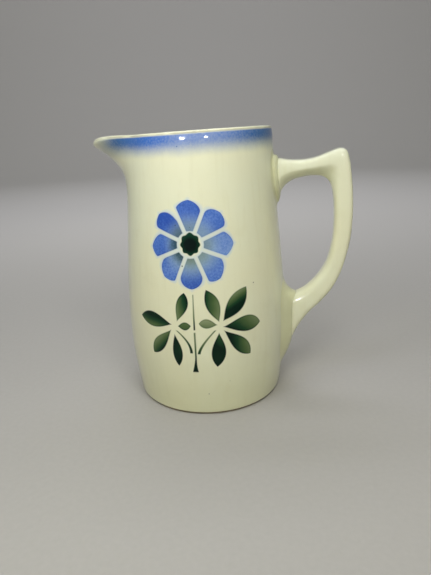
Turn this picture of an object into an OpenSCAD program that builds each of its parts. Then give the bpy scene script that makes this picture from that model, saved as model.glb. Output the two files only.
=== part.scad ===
// Ceramic pitcher: a one-piece glazed jug with a pulled beak, a loop handle and stencilled flowers.
// Z is up from the foot plane, the handle is on +X, the beak on -X and the flowers face -Y.

/* [Body] */
// height of the rim above the foot plane, on the axis
body_h = 190; // [170:1:220]
// outer radius that the wall tapers from at the foot
foot_r = 54.4; // [50:0.2:60]
// outer radius at the rim
rim_r = 50.2; // [48:0.2:54]
// how far the belly swells beyond the straight taper
belly_swell = 5.75; // [2:0.25:8]
// thickness of the wall
wall_t = 4.2; // [3.6:0.1:5]
// slope of the rim plane, rising to the handle
rim_tilt = 1.5; // [0:0.1:2.5]
// radius of the rounding across the rim
rim_round = 2.8; // [2.7:0.1:3.6]

/* [Foot and floor] */
// height of the unglazed foot ring that shows below the glazed wall
foot_h = 1.5; // [1:0.25:2.5]
// radial width of the foot ring
foot_ring_w = 8; // [6:0.5:10]
// rounding of the foot ring's outer edge
foot_round = 0.8; // [0.4:0.1:1]
// depth of the recess under the floor
recess_h = 3.2; // [2.6:0.2:5]
// rounding of the wall's lower edge, which the foot ring is set in by
base_round = 1.2; // [0.6:0.1:2]
// thickness of the floor slab
floor_t = 6; // [5:0.5:8]

/* [Beak] */
// how far the tip of the beak reaches beyond the rim
beak_reach = 29.5; // [20:0.5:32]
// height where the beak starts to leave the wall
beak_base_z = 150; // [140:1:155]
// how far the tip dips below the rim plane
beak_drop = 4.6; // [2:0.2:6]
// how much further the very tip dips
nose_drop = 1.6; // [0:0.2:3]
// angle to each side over which the beak blends into the rim
beak_spread = 48; // [40:1:55]
// power of the beak's outward sweep
beak_sweep = 2.15; // [1.6:0.05:2.4]
// angle over which the nose of the beak is rounded
beak_nose = 5; // [3:0.5:8]
// share by which the lip is thicker at the tip of the beak
lip_swell = 0.4; // [0:0.05:0.6]

/* [Handle] */
// width of the handle across the grip
handle_w = 17; // [14:0.5:20]
// extra width of the handle where it meets the wall
handle_root_extra = 4; // [2:0.5:6]
// squareness of the handle's section, where 2 is an ellipse
handle_square = 2.7; // [2.2:0.1:3.4]
// how far each slip joint spreads beyond the handle's root
slip_spread = 3; // [2:0.25:4]

/* [Decoration] */
// thickness of the fired-on colour
colour_t = 0.3; // [0.2:0.05:0.4]
// height of the middle of the flower
flower_z = 122.4; // [115:0.2:130]
// offset of the flower to the handle side, along the wall
flower_u = 1.5; // [-4:0.5:4]
// distance from the middle of the flower to a petal's inner end
petal_root = 8.75; // [8:0.25:10]
// distance from the middle of the flower to where a petal's outer end begins
petal_shoulder = 20; // [18:0.5:21]
// gap between neighbouring petals
petal_gap = 2.6; // [1.5:0.1:4]
// radius of the flower's dark centre
centre_r = 6.5; // [5:0.25:7]
// depth of the coloured band under the rim
band_depth = 8.5; // [5:0.5:12]
// width of the plain edge left above the band
band_margin = 3; // [2.9:0.1:5]

/* [Hidden] */

glaze_col = "Ivory";
clay_col = "Tan";
blue_col = "SteelBlue";
green_col = "DarkGreen";
olive_col = "OliveDrab";

round_fn = 128;            // segments of a full turn
wall_steps = 24;           // rows of the wall profile
belly_shift = 0.62;        // power that sets how low the belly sits
belly_round = 1.8;         // power that sets how round the belly is
beyond = 60;               // reach of cutting tools past the part
overlap = 0.4;             // depth that a cutting tool starts early
spare_h = 4;               // height that the wall is drawn above the rim, then cut
taper = rim_r - foot_r;
beak_rise = body_h - beak_base_z - beak_drop - rim_r * sin(rim_tilt);
beak_rows = 12;            // rows up each face of the beak
beak_cols = 28;            // columns around the beak
rim_rows = 6;              // steps over the beak's rounded edge
rim_arc = asin(wall_t / 2 / rim_round);
rim_sag = rim_round * (1 - cos(rim_arc));

// ---- wall shape ----

function turn_u(z) = pow(max(z, 0) / body_h, belly_shift);
function wall_r(z) = foot_r + taper * z / body_h
    + belly_swell * pow(max(sin(180 * min(turn_u(z), 1)), 0), belly_round);
function row_z(i) = foot_h + (body_h + spare_h - foot_h) * i / wall_steps;
function row_at(z) = (z - foot_h) / (body_h + spare_h - foot_h) * wall_steps;
function rim_z(x) = body_h + x * tan(rim_tilt);

// outline between two rows of the wall, from an inner to an outer offset of the surface
module wall_band(row_a, row_b, inside, outside) {
    outer = [for (i = [row_a : row_b]) [wall_r(row_z(i)) + outside, row_z(i)]];
    inner = [for (i = [row_b : -1 : row_a]) [wall_r(row_z(i)) + inside, row_z(i)]];
    rotate_extrude($fn = round_fn)
        polygon(concat(outer, inner));
}

// everything inside the wall's outer surface, used to trim what is luted on to it
module wall_core() {
    outer = [for (i = [0 : wall_steps]) [wall_r(row_z(i)), row_z(i)]];
    rotate_extrude($fn = round_fn)
        polygon(concat([[0, foot_h]], outer, [[0, row_z(wall_steps)]]));
}

// all that lies above the tilted rim, but for the rounding over the edge
module above_rim() {
    translate([0, 0, body_h])
        rotate([0, -rim_tilt, 0])
            rotate_extrude($fn = round_fn)
                difference() {
                    translate([0, -rim_sag - overlap])
                        square([rim_r + beyond, beyond]);
                    translate([rim_r - wall_t / 2, -rim_round])
                        circle(r = rim_round, $fn = round_fn);
                }
}

// the sector that the beak fills
module beak_sector(low_z) {
    reach = beyond + rim_r;
    translate([0, 0, low_z])
        linear_extrude(height = reach)
            polygon([
                [0, 0],
                [-reach, reach * tan(beak_spread)],
                [-reach, -reach * tan(beak_spread)]
            ]);
}

// flat outline that a rounded lower corner at [x, z] takes away
module lost_corner(x, z, r) {
    translate([x - r, z + r])
        difference() {
            translate([0, -r - overlap])
                square([r + overlap, r + overlap]);
            circle(r = r, $fn = round_fn);
        }
}

module body_wall() {
    color(glaze_col)
        difference() {
            wall_band(0, wall_steps, -wall_t, 0);
            rotate_extrude($fn = round_fn)
                lost_corner(wall_r(foot_h + base_round), foot_h, base_round);
            above_rim();
            beak_sector(beak_base_z);
        }
}

module body_floor() {
    inner = [for (i = [0 : wall_steps]) [wall_r(row_z(i)) - wall_t, row_z(i)]];
    color(glaze_col)
        rotate_extrude($fn = round_fn)
            intersection() {
                polygon(concat([[0, foot_h]], inner, [[0, row_z(wall_steps)]]));
                translate([0, recess_h])
                    square([beyond, floor_t]);
            }
}

module foot_ring() {
    outer_r = wall_r(foot_h) - base_round;
    step_r = wall_r(foot_h) - wall_t;
    inner_r = outer_r - foot_ring_w;
    color(clay_col)
        rotate_extrude($fn = round_fn)
            difference() {
                union() {
                    translate([inner_r, 0])
                        square([foot_ring_w, foot_h]);
                    translate([inner_r, 0])
                        square([step_r - inner_r, recess_h]);
                }
                lost_corner(outer_r, 0, foot_round);
            }
}

// ---- beak ----

function nose_angle(a) = sqrt(a * a + beak_nose * beak_nose) - beak_nose;
function beak_plan(a) = pow(max(1 - nose_angle(a) / nose_angle(beak_spread), 0), 2);
function beak_v(z) = max((z - beak_base_z) / beak_rise, 0);
function beak_out(z, a) = beak_reach * pow(beak_v(z), beak_sweep) * beak_plan(a);
function beak_slope(z, a) =
    beak_reach * beak_sweep * pow(beak_v(z), beak_sweep - 1) / beak_rise * beak_plan(a);
function beak_top(a) =
    rim_z(-rim_r * cos(a)) - beak_drop * beak_plan(a) - nose_drop * pow(beak_plan(a), 3);

// how much thicker than the wall the lip is
function lip_share(z, a) = 1 + lip_swell * min(beak_v(z), 1) * beak_plan(a);

// a point of the shell in a radial plane: distance from the axis and height, at a depth in the wall
function beak_point(z, a, depth) =
    let (lean = atan(beak_slope(z, a)), deep = depth * lip_share(z, a))
    [wall_r(z) + beak_out(z, a) - deep * cos(lean), z + deep * sin(lean)];

function over_edge(a, q) =
    let (
        top = beak_top(a) - rim_sag,
        lean = atan(beak_slope(top, a)),
        mid = beak_point(top, a, wall_t / 2),
        along = [sin(lean), cos(lean)],
        across = [cos(lean), -sin(lean)],
        sweep = rim_arc * (1 - 2 * q),
        bend_r = rim_round * lip_share(top, a)
    )
    mid + across * bend_r * sin(sweep) + along * bend_r * (cos(sweep) - cos(rim_arc));

function beak_section(a) =
    let (top = beak_top(a) - rim_sag, rise = top - beak_base_z)
    concat(
        [for (j = [0 : beak_rows - 1]) beak_point(beak_base_z + rise * j / beak_rows, a, 0)],
        [for (j = [0 : rim_rows]) over_edge(a, j / rim_rows)],
        [for (j = [beak_rows - 1 : -1 : 0]) beak_point(beak_base_z + rise * j / beak_rows, a, wall_t)]
    );

function round_axis(p, a) = [-p[0] * cos(a), p[0] * sin(a), p[1]];

// closed solid through a run of equal rings
module skin(rings) {
    n = len(rings[0]);
    m = len(rings);
    points = [for (ring = rings) each ring];
    sides = [for (i = [0 : m - 2], j = [0 : n - 1], k = [0 : 1])
        let (a = i * n + j, b = i * n + (j + 1) % n, c = a + n, d = b + n)
        k == 0 ? [a, b, d] : [a, d, c]];
    first = [for (j = [n - 1 : -1 : 0]) j];
    last = [for (j = [0 : n - 1]) (m - 1) * n + j];
    polyhedron(points = points, faces = concat(sides, [first, last]), convexity = 6);
}

module spout_lip() {
    angles = [for (i = [0 : beak_cols]) beak_spread * (2 * i / beak_cols - 1)];
    color(glaze_col)
        skin([for (a = angles) [for (p = beak_section(a)) round_axis(p, a)]]);
}

// ---- handle ----

// stations of the handle from its upper to its lower root:
// outer edge x and z, inner edge x and z, share of the extra root width
handle_path = [
    [47, 176, 48.5, 133, 1],
    [52.5, 171.4, 54.2, 141, 0.7],
    [58, 169.5, 57.5, 149.8, 0.35],
    [65, 168.7, 63.5, 154.9, 0.1],
    [72.5, 168.8, 71.5, 157.1, 0],
    [80, 170.2, 78.5, 157.8, 0],
    [88, 173.2, 83.5, 157.2, 0],
    [95, 175.3, 86.6, 155.6, 0],
    [99.3, 173.4, 88.7, 153.4, 0],
    [101.5, 167, 90.1, 150.2, 0],
    [103.2, 156, 91.2, 145.2, 0],
    [104.5, 143, 92.1, 137.5, 0],
    [104.9, 130, 92.4, 128, 0],
    [104.2, 116, 92, 115.5, 0],
    [102, 103.5, 90, 103.5, 0],
    [98.4, 90.5, 86.8, 94.3, 0],
    [92.8, 78.5, 81.3, 85.6, 0],
    [85, 68.3, 75, 79, 0.05],
    [77, 60, 69.5, 75.3, 0.15],
    [70.5, 51, 65.5, 73.9, 0.3],
    [66, 42.3, 61.9, 74.6, 0.5],
    [62.5, 33, 59.5, 76.8, 0.7],
    [58.5, 26, 57, 81, 0.85],
    [53, 19, 52.5, 88, 1]
];
handle_fine = 2;           // rings for each step of the path
ring_points = 24;          // points around a ring

function blend(p0, p1, p2, p3, t) =
    0.5 * (2 * p1 + (p2 - p0) * t + (2 * p0 - 5 * p1 + 4 * p2 - p3) * t * t
        + (3 * p1 - p0 - 3 * p2 + p3) * t * t * t);
function path_at(q) =
    let (
        last = len(handle_path) - 1,
        i = min(floor(q), last - 1),
        t = q - i
    )
    blend(handle_path[max(i - 1, 0)], handle_path[i], handle_path[i + 1],
        handle_path[min(i + 2, last)], t);

function rounded(v) = sign(v) * pow(abs(v), 2 / handle_square);

// one ring of the handle, grown by a margin on every side
function handle_ring(q, margin) =
    let (
        s = path_at(q),
        outer = [s[0], 0, s[1]],
        inner = [s[2], 0, s[3]],
        mid = (outer + inner) / 2,
        half = (outer - inner) / 2,
        grown = half * (1 + margin / norm(half)),
        w = (handle_w + handle_root_extra * s[4]) / 2 + margin
    )
    [for (j = [0 : ring_points - 1])
        let (a = 360 * (j + 0.5) / ring_points)
        mid + grown * rounded(cos(a)) + [0, w * rounded(sin(a)), 0]];

module handle_span(q_a, q_b, margin_a, margin_b) {
    steps = round((q_b - q_a) * handle_fine);
    skin([for (i = [0 : steps])
        let (t = i / steps)
        handle_ring(q_a + (q_b - q_a) * t, margin_a + (margin_b - margin_a) * t)]);
}

module handle() {
    color(glaze_col)
        difference() {
            handle_span(0, len(handle_path) - 1, 0, 0);
            wall_core();
        }
}

least_slip = 0.4;          // step left where a slip joint ends on the handle
slip_root = slip_spread * 1.6; // spread at the buried root, which leaves slip_spread at the wall
upper_slip_run = 2;        // steps of the path that the upper joint covers
lower_slip_run = 2.5;      // steps of the path that the lower joint covers
cut_run = 1;               // further steps over which the handle is cut out of a joint

module upper_slip_joint() {
    color(glaze_col)
        difference() {
            handle_span(0, upper_slip_run, slip_root, least_slip);
            handle_span(0, upper_slip_run + cut_run, 0, 0);
            wall_core();
        }
}

module lower_slip_joint() {
    last = len(handle_path) - 1;
    color(glaze_col)
        difference() {
            handle_span(last - lower_slip_run, last, least_slip, slip_root);
            handle_span(last - lower_slip_run - cut_run, last, 0, 0);
            wall_core();
        }
}

// ---- decoration, drawn as [distance along the wall, height] and laid on the -Y side ----

function on_wall(p) = [wall_r(p[1]) * sin(p[0] / wall_r(p[1]) * 180 / PI), p[1]];
function heading(a) = [cos(a), sin(a)];

// the layer of colour where a flat outline is laid over the wall
module wall_colour(outline) {
    low = floor(row_at(min([for (p = outline) p[1]])));
    high = ceil(row_at(max([for (p = outline) p[1]])));
    intersection() {
        wall_band(low, high, 0, colour_t);
        rotate([90, 0, 0])
            linear_extrude(height = beyond + rim_r)
                polygon([for (p = outline) on_wall(p)]);
    }
}

// a leaf: start, direction, length, bulge to its left and right, and where it is widest
leaf_steps = 8;
leaf_point = 2.2;          // power that sets how pointed both ends of a leaf are
function leaf_width(v, peak) =
    pow(v / peak, leaf_point * peak) * pow((1 - v) / (1 - peak), leaf_point * (1 - peak));
function leaf(start, direction, length, left, right, peak) =
    let (d = heading(direction), n = heading(direction + 90))
    concat(
        [for (i = [0 : leaf_steps - 1])
            let (v = i / leaf_steps)
            start + d * length * v - n * right * leaf_width(v, peak)],
        [for (i = [leaf_steps : -1 : 1])
            let (v = i / leaf_steps)
            start + d * length * v + n * left * leaf_width(v, peak)]
    );

module leaves(list) {
    for (l = list)
        wall_colour(leaf([l[0], l[1]], l[2], l[3], l[4], l[5], l[6]));
}

// a tapering stroke along a curve with one bend
stroke_steps = 6;
function bend(a, b, c, t) = a * (1 - t) * (1 - t) + b * 2 * t * (1 - t) + c * t * t;
function stroke(a, b, c, w_a, w_c) =
    let (
        side = function(t, s)
            let (
                dir = (b - a) * (1 - t) + (c - b) * t,
                n = [-dir[1], dir[0]] / norm(dir),
                w = w_a + (w_c - w_a) * t
            )
            bend(a, b, c, t) + n * w / 2 * s
    )
    concat(
        [for (i = [0 : stroke_steps]) side(i / stroke_steps, -1)],
        [for (i = [stroke_steps : -1 : 0]) side(i / stroke_steps, 1)]
    );

// petals from the handle side round over the top: tip's distance from the middle of the flower,
// how far it leans to the left, widest half to the left and right of the middle line, bluntness
petal_ends = [
    [27.6, -0.4, 7.6, 8.8, 1.7],
    [27.2, -0.4, 7.4, 7.8, 3.2],
    [27.6, 0.5, 8.8, 7.2, 2.2],
    [27.5, 0.8, 8, 5.2, 2.8],
    [26.7, 1.8, 8.8, 6.4, 1.8],
    [27.6, 1.8, 8.6, 6.2, 2.6],
    [28.4, 0, 7.1, 7.1, 2.8],
    [28.6, -2.4, 7.2, 8.4, 2.6]
];
petals = len(petal_ends);
petal_half = 180 / petals; // angle between a petal's middle line and the gap beside it
petal_steps = 8;
petal_root_round = 0.5;    // share of the root's half-width that its rounding takes off
petal_root_run = 1;        // length of that rounding
petal_tip_round = 0.7;     // power that rounds a petal's outer end

// half-width of the wedge between two gaps
function petal_side(r) = (r * sin(petal_half) - petal_gap / 2) / cos(petal_half);

// a point of a petal's left (1) or right (-1) outline, at a share of its outer end
function petal_end(e, share, side) =
    let (
        r = petal_shoulder + (e[0] - petal_shoulder) * share,
        widest = side > 0 ? e[2] : e[3],
        half = min(petal_side(r), widest * pow(1 - pow(share, e[4]), petal_tip_round))
    )
    [r, e[1] * share + side * half];

function petal(i) =
    let (
        d = heading(2 * petal_half * i),
        n = heading(2 * petal_half * i + 90),
        middle = [flower_u, flower_z],
        root_w = petal_side(petal_root + petal_root_run),
        shape = concat(
            [[petal_root, -root_w * petal_root_round], [petal_root + petal_root_run, -root_w]],
            [for (k = [0 : petal_steps - 1]) petal_end(petal_ends[i], k / petal_steps, -1)],
            [for (k = [petal_steps : -1 : 0]) petal_end(petal_ends[i], k / petal_steps, 1)],
            [[petal_root + petal_root_run, root_w], [petal_root, root_w * petal_root_round]]
        )
    )
    [for (p = shape) middle + d * p[0] + n * p[1]];

module rim_band() {
    low = floor(row_at(body_h - band_margin - band_depth - rim_r * sin(rim_tilt)));
    reach = beyond + rim_r;
    color(blue_col)
        difference() {
            intersection() {
                wall_band(low, wall_steps, 0, colour_t);
                translate([0, 0, body_h])
                    rotate([0, -rim_tilt, 0])
                        translate([-reach, -reach, -band_margin - band_depth])
                            cube([2 * reach, 2 * reach, band_depth]);
            }
            beak_sector(beak_base_z);
        }
}

module flower_petals() {
    color(blue_col)
        for (i = [0 : petals - 1])
            wall_colour(petal(i));
}

scallops = 8;
scallop_depth = 0.06;      // share of the radius
centre_points = 40;
centre_stretch = [0.96, 1.08];
centre_lift = 0.5;         // height of the dark centre above the middle of the petals
module flower_centre() {
    color(green_col)
        wall_colour([for (i = [0 : centre_points - 1])
            let (
                a = 360 * i / centre_points,
                r = centre_r * (1 + scallop_depth * cos(a * scallops))
            )
            [
                flower_u + r * centre_stretch[0] * cos(a),
                flower_z + centre_lift + r * centre_stretch[1] * sin(a)
            ]]);
}

// the lower length of the main stem, ending in a flared foot
stem_foot = [
    [1.3, 64.6], [1.4, 55], [0.9, 47], [0.2, 42], [-1.2, 36], [1, 35.4],
    [3.1, 36.8], [2.1, 42], [2.2, 47], [2.5, 55], [2.4, 64.6]
];

module main_stem() {
    color(olive_col) {
        wall_colour(stroke([2, 90.5], [2, 78], [1.8, 66.5], 0.7, 1.2));
        wall_colour(stem_foot);
    }
}

module side_stems() {
    color(olive_col) {
        wall_colour(stroke([-10.6, 65.8], [-2.5, 60.5], [-0.9, 50], 0.7, 1.8));
        wall_colour(stroke([15.8, 66], [8.5, 59], [4.2, 49.5], 0.7, 1.9));
    }
}

module left_leaves() {
    color(green_col)
        leaves([
            [-13.7, 69.5, 176.3, 27, 4.6, 6, 0.58],
            [-9.8, 72, 73.4, 20.4, 3.3, 4.6, 0.6],
            [-9.2, 68.8, 3.3, 8.8, 2.6, 2.9, 0.55],
            [-14.3, 65.8, 230.6, 25.2, 4.1, 4.9, 0.62],
            [-12, 63, -85.7, 23.3, 3.9, 3, 0.58]
        ]);
}

module right_leaves() {
    color(green_col)
        leaves([
            [18.3, 71.5, 110, 23.4, 4, 4.9, 0.55],
            [21, 71.8, 51.3, 26.6, 5.5, 6.2, 0.56],
            [20.8, 67.8, -3.6, 27.8, 6.4, 4.7, 0.62],
            [21.3, 65.3, -47.4, 27.5, 5.3, 4.5, 0.62],
            [18, 64, -94.6, 24.8, 5.4, 4.3, 0.58],
            [17, 69.5, 172.9, 12.1, 2.9, 3.5, 0.6]
        ]);
}

body_wall();
body_floor();
foot_ring();
spout_lip();
handle();
upper_slip_joint();
lower_slip_joint();
rim_band();
flower_petals();
flower_centre();
main_stem();
side_stems();
left_leaves();
right_leaves();
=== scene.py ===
"""Looks for the ceramic pitcher: a glazed jug with a beak, a loop handle and stencilled flowers.

Metres, +Z up, handle on +X, beak on -X, flowers on -Y. Shapes are worked in millimetres and scaled.
"""

import math

import bpy
import numpy as np
from mathutils import Matrix, Vector


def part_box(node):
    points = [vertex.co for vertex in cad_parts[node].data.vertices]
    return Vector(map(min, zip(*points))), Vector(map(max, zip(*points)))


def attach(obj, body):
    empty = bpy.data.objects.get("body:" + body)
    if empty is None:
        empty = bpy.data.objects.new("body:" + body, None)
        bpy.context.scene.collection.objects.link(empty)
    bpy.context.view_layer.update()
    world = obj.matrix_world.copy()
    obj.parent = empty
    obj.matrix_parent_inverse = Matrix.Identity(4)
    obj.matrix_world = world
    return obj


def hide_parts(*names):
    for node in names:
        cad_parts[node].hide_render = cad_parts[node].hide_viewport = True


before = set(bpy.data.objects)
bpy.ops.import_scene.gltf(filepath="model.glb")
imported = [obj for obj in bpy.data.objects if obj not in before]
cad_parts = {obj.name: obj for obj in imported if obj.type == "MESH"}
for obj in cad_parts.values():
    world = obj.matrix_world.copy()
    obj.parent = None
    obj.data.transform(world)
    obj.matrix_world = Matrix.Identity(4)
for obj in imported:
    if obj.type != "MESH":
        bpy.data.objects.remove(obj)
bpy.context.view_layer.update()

MM = 0.001
DEG = math.pi / 180


# ------ sizes, in millimetres

def node_box(node):
    """Low and high corner of a CAD node's box."""
    low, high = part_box(node)
    return np.array(low) / MM, np.array(high) / MM


WALL_LO = node_box("body_wall")[0]
FOOT_HI = node_box("foot_ring")[1]
BEAK_LO = node_box("spout_lip")[0]

BODY_H = 190.0                    # rim height on the axis
RIM_R = 50.2                      # outer radius at the rim
FOOT_R = 54.4                     # radius that the wall tapers from
BELLY = 5.75                      # swell of the belly
BELLY_SHIFT, BELLY_ROUND = 0.62, 1.8     # how low the belly sits, and how round it is
WALL_T = 4.2                      # wall thickness
RIM_TILT = 1.5 * DEG              # the rim rises to the handle
RIM_SLOPE = math.tan(RIM_TILT)
FOOT_H = WALL_LO[2]               # height of the foot ring that shows
RECESS = FOOT_HI[2]               # height of the recess under the floor
FOOT_R_OUT = FOOT_HI[1]           # outer radius of the foot ring
FOOT_RING_W = 8.0                 # radial width of the foot ring
FLOOR_Z = node_box("body_floor")[1][2]
FLOOR_FILLET = 9.0                # rounding between the wall and the floor inside
FLOOR_DISH = 0.25                 # how far the floor sinks to its middle
RECESS_DOME = 0.5                 # how far the recess rises to its middle
RECESS_TUCK = 0.6                 # how far the recess's glaze reaches over the foot ring
AXIS_R = 3.0                      # radius of the smallest ring round the axis
BASE_ROUND = 1.2                  # rounding of the wall's lower edge
BEAK_Z = BEAK_LO[2]               # height where the beak leaves the wall
BEAK_REACH, BEAK_SWEEP = 29.5, 2.15      # how far the tip stands out, and the power of its sweep
BEAK_DROP, NOSE_DROP = 4.6, 1.6          # how far the tip dips, and the very tip besides
BEAK_SPREAD, BEAK_NOSE = 48.0, 5.0       # degrees to each side, and over which the nose is rounded
BEAK_RISE = BODY_H - BEAK_Z - BEAK_DROP - RIM_R * math.sin(RIM_TILT)

LIP_SWELL = 0.4                   # share by which the lip is thicker at the tip of the beak
LIP_LIFT = 3.4                    # how far the leaning lip of the beak stands over its outer edge

SHOULDER = 5.0                    # depth of the soft inward turn below the rim
SHOULDER_IN = 0.55                # how far each face turns in there
RIM_UP = 1.5                      # height of the rounding over the rim
LIP_UP = 1.2                      # how much higher it is at the tip of the beak


def wall_r(z):
    """Outer radius of the wall at a height."""
    t = np.clip(np.asarray(z, float) / BODY_H, 0, 1.05)
    turn = np.sin(np.pi * np.minimum(t ** BELLY_SHIFT, 1.0))
    return FOOT_R + (RIM_R - FOOT_R) * t + BELLY * np.maximum(turn, 0) ** BELLY_ROUND


def nose_angle(a):
    """An angle from the middle of the beak, softened so that the nose is round."""
    return np.sqrt(a * a + BEAK_NOSE ** 2) - BEAK_NOSE


def beak_plan(a):
    """Share of the beak's reach at an angle from its middle."""
    return np.maximum(1 - nose_angle(a) / nose_angle(BEAK_SPREAD), 0) ** 2


def beak_v(z):
    """Share of the beak's height at a height."""
    return np.maximum((z - BEAK_Z) / BEAK_RISE, 0)


def beak_out(z, a):
    """How far the beak stands out from the wall."""
    return BEAK_REACH * beak_v(z) ** BEAK_SWEEP * beak_plan(a)


def beak_lean(z, a):
    """Angle by which the beak's surface leans out from the wall."""
    slope = BEAK_REACH * BEAK_SWEEP * beak_v(z) ** (BEAK_SWEEP - 1) / BEAK_RISE
    return np.arctan(slope * beak_plan(a))


def rim_top(a):
    """Height of the rim at an angle from the middle of the beak, in degrees."""
    plan = beak_plan(a)
    return BODY_H - RIM_R * np.cos(a * DEG) * RIM_SLOPE - BEAK_DROP * plan - NOSE_DROP * plan ** 3


# ------ mesh helpers

def in_scene(name, data):
    """An object for a mesh, a light or a camera, in the scene."""
    obj = bpy.data.objects.new(name, data)
    bpy.context.scene.collection.objects.link(obj)
    return obj


def mesh_object(name, verts, faces, material):
    """A smooth object from vertices in millimetres."""
    mesh = bpy.data.meshes.new(name)
    mesh.from_pydata((np.asarray(verts) * MM).tolist(), [], faces)
    mesh.validate()
    mesh.update()
    mesh.shade_smooth()
    mesh.materials.append(material)
    return in_scene(name, mesh)


def loft(rings, first_tip=None, last_tip=None):
    """Vertices and faces through equal closed rings; an end with a tip is closed by a fan to it."""
    m, n = len(rings), len(rings[0])
    verts = [p for ring in rings for p in ring]
    faces = []
    for i in range(m - 1):
        for j in range(n):
            k = (j + 1) % n
            faces.append((i * n + j, i * n + k, (i + 1) * n + k, (i + 1) * n + j))
    if first_tip is not None:
        verts.append(first_tip)
        faces += [((j + 1) % n, j, len(verts) - 1) for j in range(n)]
    if last_tip is not None:
        verts.append(last_tip)
        base = (m - 1) * n
        faces += [(base + j, base + (j + 1) % n, len(verts) - 1) for j in range(n)]
    return verts, faces


def smooth_step(x):
    """0 up to 0, 1 from 1, softly between."""
    x = np.clip(x, 0, 1)
    return x * x * (3 - 2 * x)


# ------ body

def column_angles():
    """Angles round the jug from the middle of the beak, closer together across the beak."""
    fine = np.arange(-54, 54, 0.75)
    coarse = np.arange(54, 306, 1.5)
    return np.concatenate([fine, coarse])


def rim_inset(drop, a):
    """How far a face of the wall has turned in at a drop below the rim; less so on the beak."""
    return SHOULDER_IN * np.clip(1 - drop / SHOULDER, 0, 1) ** 2 * (1 - beak_plan(a))


def wobble(z, a):
    """Slight hand-made unevenness of the wall: a little out of round, with fine throwing rings."""
    t = a * DEG
    return (0.10 * np.sin(2 * t + 0.6 + z / 70) + 0.06 * np.sin(3 * t - z / 45)
            + 0.035 * np.sin(z / 2.9 + 0.8 * np.sin(t)) + 0.03 * np.sin(z / 4.7 + t))


def shell_ring(z, a, depth):
    """Points of the shell for a height and an angle per column, at a depth in the wall."""
    lean = beak_lean(z, a)
    depth = depth * (1 + LIP_SWELL * np.minimum(beak_v(z), 1) * beak_plan(a))
    r = wall_r(z) + beak_out(z, a) + wobble(z, a) - depth * np.cos(lean)
    t = a * DEG
    return np.stack([-r * np.cos(t), r * np.sin(t), z + depth * np.sin(lean)], 1)


def over_rim(a, q):
    """Ring at a share q of the way over the rounded rim, from the outer to the inner face."""
    top = rim_top(a) - RIM_UP
    lean = beak_lean(top, a)
    half = WALL_T / 2 - rim_inset(0.0, a)
    sweep = math.pi * (0.5 - q)
    depth = WALL_T / 2 - half * math.sin(sweep)
    ring = shell_ring(top, a, depth)
    up = (RIM_UP + LIP_UP * beak_plan(a)[:, None]) * math.cos(sweep)
    t = a * DEG
    along = np.stack([-np.sin(lean) * np.cos(t), np.sin(lean) * np.sin(t), np.cos(lean)], 1)
    return ring + along * up


OUTER_ROWS, RIM_ROWS, INNER_ROWS = 92, 13, 70
FILLET_ROWS, FLOOR_ROWS, RECESS_ROWS = 10, 12, 20
ROWS_TO_RIM = 0.9                 # power that draws the outer rows closer together to the rim


def outer_rings(a, top):
    """From the foot up the outside, and over the rim."""
    start = FOOT_H + BASE_ROUND
    rings = []
    for s in np.linspace(0, 1, OUTER_ROWS) ** ROWS_TO_RIM:
        z = start + (top - start) * s
        rings.append(shell_ring(z, a, rim_inset(top - z, a)))
    for q in np.linspace(0, 1, RIM_ROWS)[1:-1]:
        rings.append(over_rim(a, q))
    return rings


def inner_rings(a, top, out):
    """From the rim down the inside, round the fillet, and across the floor."""
    low = FLOOR_Z + FLOOR_FILLET
    rings = []
    for s in np.linspace(1, 0, INNER_ROWS):
        z = low + (top - low) * s
        rings.append(shell_ring(z, a, WALL_T - rim_inset(top - z, a)))
    inner = wall_r(low) - WALL_T
    for b in np.linspace(0, 90, FILLET_ROWS)[1:]:
        r = inner - FLOOR_FILLET * (1 - math.cos(b * DEG))
        rings.append(out * r + [0, 0, low - FLOOR_FILLET * math.sin(b * DEG)])
    for r in np.linspace(inner - FLOOR_FILLET, AXIS_R, FLOOR_ROWS)[1:]:
        rings.append(out * r + [0, 0, FLOOR_Z - FLOOR_DISH * (1 - r / inner)])
    return rings


def under_rings(out):
    """From the middle of the recess out to the foot ring, and round the wall's lower edge."""
    edge = wall_r(FOOT_H + BASE_ROUND)
    recess_r = FOOT_R_OUT - FOOT_RING_W + RECESS_TUCK
    rings = []
    for r in np.linspace(AXIS_R, recess_r, RECESS_ROWS):
        rings.append(out * r + [0, 0, RECESS + RECESS_DOME * (1 - (r / recess_r) ** 2)])
    rings.append(out * (recess_r + 1.5) + [0, 0, RECESS - 0.2])
    rings.append(out * (FOOT_R_OUT - 3) + [0, 0, FOOT_H + 0.1])
    for b in (-4, 10, 25, 40, 55, 70):
        r = edge - BASE_ROUND + BASE_ROUND * math.sin(b * DEG)
        rings.append(out * r + [0, 0, FOOT_H + BASE_ROUND * (1 - math.cos(b * DEG))])
    return rings


def build_body(material):
    """The glazed shell: outside, rim, beak, inside, and the underside within the foot ring."""
    a = column_angles()
    t = a * DEG
    out = np.stack([-np.cos(t), np.sin(t), 0 * t], 1)
    top = rim_top(a) - RIM_UP
    rings = under_rings(out) + outer_rings(a, top) + inner_rings(a, top, out)
    verts, faces = loft(rings, first_tip=(0, 0, RECESS + RECESS_DOME),
                        last_tip=(0, 0, FLOOR_Z - FLOOR_DISH))
    return mesh_object("jug_body", verts, faces, material)


FOOT_STEP = 1.5                   # degrees between the foot ring's columns
FOOT_OUTER_ROUND, FOOT_INNER_ROUND = 0.8, 1.4
ROUND_STEPS = (0, 18, 36, 54, 72, 90)    # degrees round a worn edge


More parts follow.
